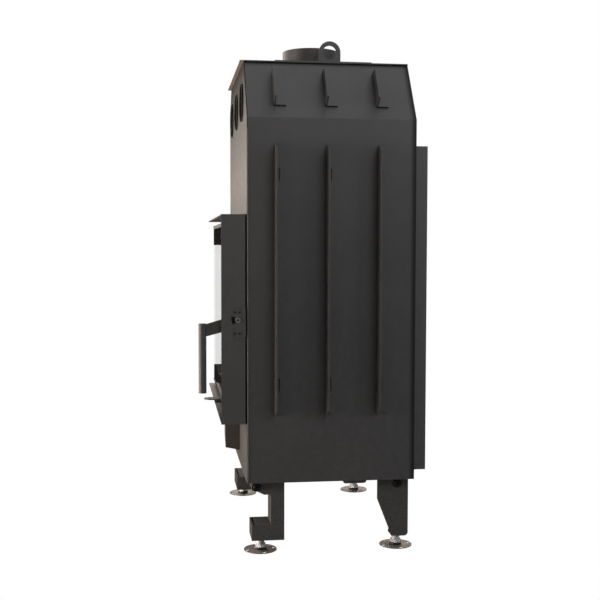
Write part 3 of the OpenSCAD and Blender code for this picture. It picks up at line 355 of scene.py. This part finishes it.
# pane: clear ceramic with a black printed border that breaks into dots at its inner edge
def makeGlass():
    values = {"low": 0.424, "high": 0.798, "fade": 0.010, "dotScale": 260.0, "dotShare": 0.4,
              "clear": (0.2, 0.2, 0.21), "ink": (0.006, 0.006, 0.006), "smear": (9.0, 5.0, 0.6),
              "film": (0.3, 0.75, 0.085, 0.105), "polish": (0.35, 0.7, 0.02, 0.07), "shine": 0.5,
              "inkShine": 0.08, "refraction": 1.5}
    material = bpy.data.materials.new("ceramicGlass")
    material.use_nodes = True
    tree = material.node_tree
    shader = tree.nodes["Principled BSDF"]
    place = tree.nodes.new("ShaderNodeTexCoord")
    split = tree.nodes.new("ShaderNodeSeparateXYZ")
    tree.links.new(place.outputs["Object"], split.inputs[0])
    height = split.outputs["Z"]
    top = remap(tree, height, values["high"], values["high"] + values["fade"], 0.0, 1.0)
    bottom = remap(tree, height, values["low"] - values["fade"], values["low"], 1.0, 0.0)
    band = combine(tree, "MAXIMUM", top, bottom)
    cells = addNode(tree, "ShaderNodeTexVoronoi", values={"Scale": values["dotScale"], "Randomness": 0.0})
    tree.links.new(place.outputs["Object"], cells.inputs["Vector"])
    dots = combine(tree, "SUBTRACT", 1.0, cells.outputs["Distance"])
    dots = combine(tree, "MULTIPLY", dots, values["dotShare"])
    printed = combine(tree, "GREATER_THAN", combine(tree, "ADD", band, dots), 1.0)
    smear = noise(tree, place.outputs["Object"], *values["smear"])
    film = remap(tree, smear, *values["film"])
    shine = remap(tree, printed, 0.0, 1.0, values["shine"], values["inkShine"])
    tree.links.new(mixColour(tree, printed, values["clear"], values["ink"]), shader.inputs["Base Color"])
    tree.links.new(combine(tree, "MAXIMUM", printed, film), shader.inputs["Alpha"])
    tree.links.new(remap(tree, smear, *values["polish"]), shader.inputs["Roughness"])
    tree.links.new(shine, shader.inputs["Specular IOR Level"])
    shader.inputs["IOR"].default_value = values["refraction"]
    return material


materials["ceramicGlass"] = makeGlass()
print("stage: materials made:", len(materials))


# dressing of the carried-over nodes: a material for each, and a rounded edge width in metres for many

corners = ("front_right", "front_left", "rear_right", "rear_left")
byNode = {
    "wallShadedPaint": ["right_wall"],
    "casingPaint": ["left_wall_upper", "left_wall_lower", "base_plate", "wall_ribs", "throat_frame"],
    "ribShadedPaint": ["hood_ribs"],
    "plateLitPaint": ["top_plate"],
    "edgeShadedPaint": ["rear_wall"],
    "airPaint": ["air_box"],
    "panelPaint": ["front_panel"],
    "shieldPaint": ["rear_shield"],
    "topPaint": ["flue_base", "flue_collar", "lifting_eyes"],
    "canopyLitPaint": ["surround_top"],
    "sillLitShadedPaint": ["surround_bottom"],
    "surroundPaint": ["surround_right", "surround_rear", "latch_plate"],
    "legPaint": ["front_leg_right", "front_leg_left", "rear_leg_right", "rear_leg_left"],
    "doorPaint": ["door_top_rail", "door_right_stile", "door_rear_stile"],
    "blackEnamel": ["door_bottom_rail", "glass_clips", "latch_roller"],
    "handlePaint": ["handle_lever", "handle_grip"],
    "tabPaint": ["air_slider"],
    "sootedSteel": ["firebox_side_wall", "firebox_rear_wall", "firebox_floor", "firebox_roof",
                    "baffle_upper", "log_guard"],
    "castIron": ["grate"],
    "fireclay": ["lining_right", "lining_rear", "hearth_slab", "baffle_lower"],
    "zincSteel": ["foot_stud_" + corner for corner in corners],
    "footSteel": ["foot_disc_" + corner for corner in corners],
    "turnedSteel": ["latch_axle", "hinge_pins", "handle_pivot"],
    "blackSteel": ["latch_screws", "leg_bolts"],
    "sealRope": ["door_seal"],
    "ceramicGlass": ["front_glass", "side_glass"],
}
byRounding = {
    0.0005: ["latch_plate"],
    0.0008: ["surround_top", "surround_bottom", "top_plate", "flue_base", "flue_collar", "air_slider",
             "front_glass", "side_glass"],
    0.001: ["left_wall_upper", "rear_wall", "handle_lever", "handle_grip", "air_box"],
    0.0012: ["right_wall", "wall_ribs", "hood_ribs", "lifting_eyes", "rear_shield", "front_leg_right",
             "front_leg_left", "rear_leg_right", "rear_leg_left"],
    0.002: ["surround_right", "grate"],
    0.0029: ["front_panel"],
    0.003: ["lining_right", "lining_rear", "hearth_slab", "baffle_lower"],
}


def dress():
    values = {"segments": 2, "leastTurn": 40}
    for name, members in byNode.items():
        for member in members:
            mesh = nodes[member].data
            mesh.materials.clear()
            mesh.materials.append(materials[name])
    for width, members in byRounding.items():
        for member in members:
            bevel = nodes[member].modifiers.new("rounding", "BEVEL")
            bevel.width = width
            bevel.segments = values["segments"]
            bevel.limit_method = "ANGLE"
            bevel.angle_limit = math.radians(values["leastTurn"])
    dressed = {member for members in byNode.values() for member in members}
    print("stage: frame dressed, undressed:", sorted(set(nodes) - dressed))


dress()


# new pieces, each a grid of rings swept along a profile or a path

# quads between neighbouring rings, with the ends closed by one face each unless the path wraps
def gridFaces(rows, columns, wrap):
    last = rows if wrap else rows - 1
    row = np.repeat(np.arange(last), columns)
    column = np.tile(np.arange(columns), last)
    after = (row + 1) % rows
    beside = (column + 1) % columns
    quads = np.stack((row * columns + column, row * columns + beside, after * columns + beside,
                      after * columns + column), axis=1).tolist()
    if not wrap:
        quads.append(list(range(columns))[::-1])
        quads.append(list(range((rows - 1) * columns, rows * columns)))
    return quads


def addPiece(name, points, faces, material, body, smooth=35):
    mesh = bpy.data.meshes.new(name)
    mesh.from_pydata(points.tolist(), [], faces)
    mesh.materials.append(materials[material])
    mesh.shade_smooth()
    mesh.set_sharp_from_angle(angle=math.radians(smooth))
    piece = bpy.data.objects.new(name, mesh)
    bpy.context.scene.collection.objects.link(piece)
    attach(piece, body)
    return piece


# profile rows are radius, height and how far the ring is six-sided; a ring at angle t has its radius
# times the distance of a unit hexagon's flat side at t, mixed in by that share
def revolve(profile, count, place, axis=(0, 0, 1), wrap=False):
    rows = np.array(profile, dtype=float)
    angle = np.linspace(0, 2 * math.pi, count, endpoint=False)
    flat = math.cos(math.pi / 6) / np.cos((angle + math.pi / 6) % (math.pi / 3) - math.pi / 6)
    radius = rows[:, :1] * (1 - rows[:, 2:] + rows[:, 2:] * flat[None, :])
    along = np.array(axis, dtype=float)
    first = np.array((0.0, 0.0, 1.0)) if along[1] else np.array((0.0, 1.0, 0.0))
    second = np.cross(along, first)
    points = (radius * np.cos(angle))[..., None] * first + (radius * np.sin(angle))[..., None] * second
    points = points + rows[:, 1][:, None, None] * along + np.array(place, dtype=float)
    return points.reshape(-1, 3), gridFaces(len(rows), count, wrap)


def join(parts):
    points, faces, start = [], [], 0
    for some, quads in parts:
        points.append(some)
        faces += [[k + start for k in quad] for quad in quads]
        start += len(some)
    return np.concatenate(points), faces


def spans(node):
    low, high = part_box(node)
    return {"low": low, "middle": [(a + b) / 2 for a, b in zip(low, high)], "high": high}


# threaded stud: the radius falls by the thread's depth as a triangle wave of height less turn
def makeThread(x, y, low, high, values):
    rows = int((high - low) / values["pitch"] * values["rowsPerTurn"])
    height = np.linspace(low, high, rows)
    angle = np.linspace(0, 2 * math.pi, values["columns"], endpoint=False)
    phase = (height[:, None] / values["pitch"] - angle[None, :] / (2 * math.pi)) % 1.0
    radius = values["radius"] - values["depth"] * (1 - np.abs(2 * phase - 1))
    full = np.clip((high - height) / values["chamfer"], 0, 1)[:, None]
    radius = radius * (values["tipShare"] + (1 - values["tipShare"]) * full)
    points = np.stack((x + radius * np.cos(angle), y + radius * np.sin(angle),
                       np.broadcast_to(height[:, None], radius.shape)), axis=2)
    return points.reshape(-1, 3), gridFaces(rows, values["columns"], False)


# levelling feet: a black ring on each plate, a six-sided nut on it and the threaded stud through both
def makeFeet():
    values = {"pitch": 0.0025, "rowsPerTurn": 8, "columns": 40, "radius": 0.0109, "depth": 0.0011,
              "chamfer": 0.0025, "tipShare": 0.86, "plate": 0.002, "ring": 0.006, "ringRadius": 0.0163,
              "ringHole": 0.5, "nut": 0.009, "nutRadius": 0.0153, "nutHole": 0.8, "nutFoot": 0.9,
              "nutTop": 0.86, "ease": 0.0008, "count": 48, "smooth": 60}
    base, ease = values["plate"], values["ease"]
    ring, ringTop = values["ringRadius"], values["ring"]
    ringHole = ring * values["ringHole"]
    nut, nutTop = values["nutRadius"], values["nut"]
    nutHole = nut * values["nutHole"]
    ringProfile = [(ringHole, 0, 0), (ring - ease, 0, 0), (ring, ease, 0), (ring, ringTop - 2 * ease, 0),
                   (ring - 2 * ease, ringTop, 0), (ringHole, ringTop, 0)]
    nutProfile = [(nutHole, 0, 0), (nut * values["nutFoot"], 0, 0), (nut, ease, 1), (nut, nutTop - ease, 1),
                  (nut * values["nutTop"], nutTop, 0), (nutHole, nutTop, 0)]
    for corner in corners:
        node = "foot_stud_" + corner
        body = "foot_" + corner
        label = corner.title().replace("_", "")
        span = spans(node)
        x, y = span["middle"][:2]
        points, faces = revolve(ringProfile, values["count"], (x, y, base))
        addPiece("footRing" + label, points, faces, "blackPlastic", body)
        points, faces = revolve(nutProfile, values["count"], (x, y, base + ringTop))
        addPiece("footNut" + label, points, faces, "zincSteel", body)
        points, faces = makeThread(x, y, base, span["high"][2], values)
        stud = addPiece("footThread" + label, points, faces, "zincSteel", body, values["smooth"])
        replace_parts(stud, node)


# socket-head bolts on washers, one stack at each end of the legs' outer faces
def makeLegBolts():
    values = {"washer": 0.012, "washerHole": 0.4, "washerHeight": 0.002, "head": 0.007, "headHeight": 0.004,
              "socket": 0.0042, "socketFloor": 0.3, "deep": 0.0026, "ease": 0.0006, "count": 48}
    span = spans("leg_bolts")
    low, high, z = span["low"], span["high"], span["middle"][2]
    ease, washer, head, socket = (values[k] for k in ("ease", "washer", "head", "socket"))
    seat = values["washerHeight"]
    top = seat + values["headHeight"]
    floor = top - values["deep"]
    profile = [(washer * values["washerHole"], 0, 0), (washer, 0, 0), (washer, seat - ease, 0),
               (washer - ease, seat, 0), (head + ease, seat, 0), (head, seat + ease, 0),
               (head, top - ease, 0), (head - ease, top, 0), (socket, top, 1), (socket, floor, 1),
               (socket * values["socketFloor"], floor, 1)]
    parts = []
    for side, face in ((1, high[0] - top), (-1, low[0] + top)):
        for at in (low[1] + washer, high[1] - washer):
            parts.append(revolve(profile, values["count"], (face, at, z), (side, 0, 0)))
    points, faces = join(parts)
    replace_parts(addPiece("legBoltHeads", points, faces, "blackEnamel", "chassis"), "leg_bolts")


# four small domed screws with six-sided sockets on the latch plate; the dome is in shares of the head
def makeLatchScrews():
    values = {"radius": 0.0027, "height": 0.0018, "hole": 0.5, "rim": 0.4, "dome": (0.86, 0.8), "crown": 0.6,
              "socket": 0.0013, "socketFloor": 0.3, "deep": 0.0011, "count": 30}
    span = spans("latch_screws")
    low, high = span["low"], span["high"]
    head, top, socket = values["radius"], values["height"], values["socket"]
    floor = top - values["deep"]
    domeRadius, domeHeight = values["dome"]
    profile = [(head * values["hole"], 0, 0), (head, 0, 0), (head, top * values["rim"], 0),
               (head * domeRadius, top * domeHeight, 0), (head * values["crown"], top, 0), (socket, top, 1),
               (socket, floor, 1), (socket * values["socketFloor"], floor, 1)]
    parts = [revolve(profile, values["count"], (low[0], at, up), (1, 0, 0))
             for at in (low[1] + head, high[1] - head) for up in (low[2] + head, high[2] - head)]
    points, faces = join(parts)
    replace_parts(addPiece("latchScrewHeads", points, faces, "blackEnamel", "chassis"), "latch_screws")


# six-sided socket in the axle's head: a shallow black cup that lines the bore, without its two end faces;
# its black is painted shade in the recess
def makeAxleSocket():
    values = {"radius": 0.00279, "flat": 0.0023, "floor": 0.3, "deep": 0.0028, "lip": 0.0002, "count": 48}
    span = spans("latch_axle")
    y, z = span["middle"][1:]
    profile = [(values["radius"], -values["lip"], 0), (values["flat"], -values["lip"], 1),
               (values["flat"], -values["deep"], 1), (values["flat"] * values["floor"], -values["deep"], 1)]
    points, faces = revolve(profile, values["count"], (span["high"][0], y, z), (1, 0, 0))
    addPiece("axleSocketShade", points, faces[:-2], "blackEnamel", "chassis")


# weld bead: a low tube along a path, its radius swelling once per ripple and unevenly by a slower sine
def makeBead(path, closed, values):
    steps = np.diff(path, axis=0, append=path[:1] if closed else path[-1:] * 2 - path[-2:-1])
    length = np.linalg.norm(steps, axis=1)
    ripples = np.concatenate(([0.0], np.cumsum(length)[:-1])) / values["ripple"]
    swell = (1 + values["swell"] * np.sin(2 * math.pi * ripples)
             + values["uneven"] * np.sin(ripples * values["unevenRate"] + values["unevenShift"]))
    ahead = steps / length[:, None]
    side = np.cross(ahead, np.array((0.0, 0.0, 1.0)))
    side /= np.linalg.norm(side, axis=1)[:, None]
    up = np.cross(side, ahead)
    angle = np.linspace(0, 2 * math.pi, values["sides"], endpoint=False)
    reach = (values["radius"] * swell)[:, None, None]
    points = path[:, None, :] + reach * (np.cos(angle)[None, :, None] * side[:, None, :]
                                         + np.sin(angle)[None, :, None] * up[:, None, :])
    return points.reshape(-1, 3), gridFaces(len(path), values["sides"], closed)


def straight(a, b, step):
    count = int(math.dist(a, b) / step)
    share = np.linspace(0, 1, count)[:, None]
    return np.array(a) * (1 - share) + np.array(b) * share


# beads around the flue collar's foot and along both sides of each lifting eye
def makeWelds():
    values = {"radius": 0.0019, "ripple": 0.0042, "swell": 0.14, "uneven": 0.08, "unevenRate": 1.7,
              "unevenShift": 1.0, "sides": 8, "collarRadius": 0.0795, "collarSteps": 640, "eyeReach": 0.027,
              "eyeThick": 0.008, "step": 0.0008, "smooth": 60}
    radius, reach, thick = (values[k] for k in ("collarRadius", "eyeReach", "eyeThick"))
    centreX, centreY = spans("flue_collar")["middle"][:2]
    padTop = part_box("flue_base")[1][2]
    turn = np.linspace(0, 2 * math.pi, values["collarSteps"], endpoint=False)
    circle = np.stack((centreX + radius * np.cos(turn), centreY + radius * np.sin(turn),
                       np.full(turn.shape, padTop)), axis=1)
    parts = [makeBead(circle, True, values)]
    eyeLow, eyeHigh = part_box("lifting_eyes")
    middleY = (eyeLow[1] + eyeHigh[1]) / 2
    front, back = middleY - reach, middleY + reach
    for x in (eyeLow[0], eyeLow[0] + thick, eyeHigh[0] - thick, eyeHigh[0]):
        line = straight((x, front, padTop), (x, back, padTop), values["step"])
        parts.append(makeBead(line, False, values))
    points, faces = join(parts)
    addPiece("topWelds", points, faces, "weldSteel", "chassis", values["smooth"])


# black rim around each warm-air outlet: a short tube in front of the panel, clear of the bore
def makeOutletRims():
    values = {"inner": 0.0489, "outer": 0.0506, "reach": 0.0042, "ease": 0.0005, "count": 96}
    inner, outer, reach, ease = (values[k] for k in ("inner", "outer", "reach", "ease"))
    profile = [(inner, 0, 0), (outer, 0, 0), (outer, reach - ease, 0), (outer - ease, reach, 0),
               (inner, reach, 0)]
    places = {mount["name"]: mount["pos_m"] for mount in frame["record"]["mounts"]}
    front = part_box("front_panel")[0][1]
    parts = []
    for label in ("left", "middle", "right"):
        at = places["warm_air_outlet_" + label]
        parts.append(revolve(profile, values["count"], (at[0], front, at[2]), (0, -1, 0), True))
    points, faces = join(parts)
    addPiece("outletRims", points, faces, "blackEnamel", "chassis")


# painted seam over the casing's front right corner: a low arch, its height a cosine over its width
def makeCornerSeam():
    values = {"from": 0.0012, "width": 0.0044, "height": 0.0013, "sink": 0.0006, "clear": 0.001,
              "above": 0.04, "columns": 11, "rows": 60, "smooth": 60}
    low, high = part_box("front_panel")
    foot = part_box("base_plate")[0][2]
    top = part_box("wall_ribs")[1][2] + values["above"]
    share = np.linspace(0, 1, values["columns"])
    reach = high[0] + values["height"] * np.cos((share - 0.5) * math.pi)
    reach[[0, -1]] = high[0] - values["sink"]
    across = low[1] + values["from"] + values["width"] * share
    height = np.linspace(foot + values["clear"], top, values["rows"])
    points = np.stack(np.broadcast_arrays(reach[None, :], across[None, :], height[:, None]), axis=2)
    faces = gridFaces(values["rows"], values["columns"], False)
    addPiece("cornerSeam", points.reshape(-1, 3), faces, "casingPaint", "chassis", values["smooth"])


makeFeet()
makeLegBolts()
makeLatchScrews()
makeAxleSocket()
makeWelds()
makeCornerSeam()
makeOutletRims()
print("stage: small parts made")


# studio: pale floor, soft boxes and a world that is bright behind the object

# white to the camera, pale to diffuse light and dark in reflections, darkest at the far left
def makeStage():
    values = {"size": 9.0, "z": -0.0005, "pale": (0.62, 0.61, 0.6, 1), "mirrored": (0.05, 0.048, 0.046, 1),
              "rough": 0.9, "fall": (-0.6, 0.4, 0.2, 1.0)}
    half, z = values["size"], values["z"]
    mesh = bpy.data.meshes.new("floor")
    points = [(-half, -half, z), (half, -half, z), (half, half, z), (-half, half, z)]
    mesh.from_pydata(points, [], [(0, 1, 2, 3)])
    floor = bpy.data.objects.new("floor", mesh)
    bpy.context.scene.collection.objects.link(floor)
    material = bpy.data.materials.new("paleFloor")
    material.use_nodes = True
    tree = material.node_tree
    shader = tree.nodes["Principled BSDF"]
    shader.inputs["Base Color"].default_value = values["pale"]
    shader.inputs["Roughness"].default_value = values["rough"]
    glow = addNode(tree, "ShaderNodeEmission", values={"Color": (1, 1, 1, 1), "Strength": 1.0})
    path = tree.nodes.new("ShaderNodeLightPath")
    dim = addNode(tree, "ShaderNodeEmission", values={"Color": values["mirrored"]})
    spot = tree.nodes.new("ShaderNodeNewGeometry")
    across = tree.nodes.new("ShaderNodeSeparateXYZ")
    tree.links.new(spot.outputs["Position"], across.inputs[0])
    tree.links.new(remap(tree, across.outputs["X"], *values["fall"]), dim.inputs["Strength"])
    below = tree.nodes.new("ShaderNodeMixShader")
    tree.links.new(path.outputs["Is Glossy Ray"], below.inputs[0])
    tree.links.new(shader.outputs[0], below.inputs[1])
    tree.links.new(dim.outputs[0], below.inputs[2])
    mix = tree.nodes.new("ShaderNodeMixShader")
    tree.links.new(path.outputs["Is Camera Ray"], mix.inputs[0])
    tree.links.new(below.outputs[0], mix.inputs[1])
    tree.links.new(glow.outputs[0], mix.inputs[2])
    tree.links.new(mix.outputs[0], tree.nodes["Material Output"].inputs["Surface"])
    mesh.materials.append(material)


# white to the camera; otherwise bright above the horizon at the far left and dim all around
def makeWorld():
    values = {"behind": (-0.9, 0.1, 1.6, 0.0), "raised": (0.06, 0.26, 0.0, 1.0),
              "around": (-0.97, -0.6, 0.0096, 0.12), "near": (-0.9, -0.3, 0.0, 1.0),
              "nearTint": (1.0, 0.975, 0.945), "farTint": (1.0, 0.92, 0.86)}
    world = bpy.data.worlds.new("studio")
    world.use_nodes = True
    bpy.context.scene.world = world
    tree = world.node_tree
    base = tree.nodes["Background"]
    place = tree.nodes.new("ShaderNodeTexCoord")
    split = tree.nodes.new("ShaderNodeSeparateXYZ")
    tree.links.new(place.outputs["Generated"], split.inputs[0])
    behind = remap(tree, split.outputs["X"], *values["behind"])
    raised = remap(tree, split.outputs["Z"], *values["raised"])
    around = remap(tree, split.outputs["X"], *values["around"])
    near = remap(tree, split.outputs["X"], *values["near"])
    level = combine(tree, "ADD", combine(tree, "MULTIPLY", behind, raised), around)
    tree.links.new(level, base.inputs["Strength"])
    tree.links.new(mixColour(tree, near, values["farTint"], values["nearTint"]), base.inputs["Color"])
    plain = addNode(tree, "ShaderNodeBackground", values={"Color": (1, 1, 1, 1), "Strength": 1.0})
    path = tree.nodes.new("ShaderNodeLightPath")
    mix = tree.nodes.new("ShaderNodeMixShader")
    tree.links.new(path.outputs["Is Camera Ray"], mix.inputs[0])
    tree.links.new(base.outputs[0], mix.inputs[1])
    tree.links.new(plain.outputs[0], mix.inputs[2])
    tree.links.new(mix.outputs[0], tree.nodes["World Output"].inputs["Surface"])


def addSoftBox(name, place, target, size, power, tint):
    lamp = bpy.data.lights.new(name, "AREA")
    lamp.shape = "RECTANGLE"
    lamp.size, lamp.size_y = size
    lamp.energy = power
    lamp.color = tint
    holder = bpy.data.objects.new(name, lamp)
    holder.location = place
    holder.rotation_euler = (Vector(target) - Vector(place)).to_track_quat("-Z", "Y").to_euler()
    holder.visible_camera = False
    bpy.context.scene.collection.objects.link(holder)


# soft boxes: places and sizes in metres, power in watts; the four at the front are warm
def makeLights():
    warm = (1.0, 0.88, 0.79)
    boxes = {
        "frontBox": {"place": (-0.8, -3.4, 0.7), "target": (0, 0, 0.7), "size": (2.6, 1.0), "power": 60,
                     "tint": warm},
        "leftBox": {"place": (-2.8, -2.2, 1.5), "target": (0, 0, 0.9), "size": (1.6, 1.6), "power": 46,
                    "tint": warm},
        "lowBox": {"place": (0.1, -1.2, 0.1), "target": (-0.2, -0.2, 0.9), "size": (0.9, 0.4), "power": 20,
                   "tint": warm},
        "edgeBox": {"place": (1.05, -3.3, 0.8), "target": (0.3, 0, 0.75), "size": (0.9, 1.4), "power": 92,
                    "tint": warm},
        "sideBox": {"place": (3.6, 1.2, 3.0), "target": (0.2, 0, 0.9), "size": (2.0, 2.2), "power": 68,
                    "tint": (1.0, 0.995, 0.99)},
        "rimBox": {"place": (2.4, 3.0, 1.6), "target": (0.3, 0, 0.8), "size": (0.8, 1.6), "power": 26,
                   "tint": (0.88, 0.94, 1.0)},
        "topBox": {"place": (0.2, 0.2, 3.6), "target": (0, 0, 1.0), "size": (2.2, 2.2), "power": 22,
                   "tint": (1.0, 1.0, 1.0)},
    }
    for name, box in boxes.items():
        addSoftBox(name, **box)


makeStage()
makeWorld()
makeLights()
print("stage: studio set")


# camera fitted to the photograph: place in metres, turns in degrees, lens and sensor in millimetres
def makeCamera():
    values = {"place": (2.91516, -0.37827, 0.80511), "yaw": 7.509, "pitch": 3.094, "roll": 0.102,
              "lens": 60.4926, "sensor": 36.0, "farthest": 60}
    yaw, pitch, roll = (math.radians(values[k]) for k in ("yaw", "pitch", "roll"))
    ahead = Vector((-math.cos(yaw) * math.cos(pitch), math.sin(yaw) * math.cos(pitch), -math.sin(pitch)))
    right = Vector((math.sin(yaw), math.cos(yaw), 0.0))
    up = right.cross(ahead)
    side = right * math.cos(roll) + up * math.sin(roll)
    head = up * math.cos(roll) - right * math.sin(roll)
    turn = Matrix((side, head, -ahead)).transposed().to_4x4()
    lens = bpy.data.cameras.new("camera")
    lens.lens = values["lens"]
    lens.sensor_width = values["sensor"]
    lens.clip_end = values["farthest"]
    camera = bpy.data.objects.new("camera", lens)
    camera.matrix_world = Matrix.Translation(values["place"]) @ turn
    bpy.context.scene.collection.objects.link(camera)
    bpy.context.scene.camera = camera


makeCamera()
bpy.context.scene.view_settings.view_transform = "Standard"
print("stage: camera set")

saveSize()
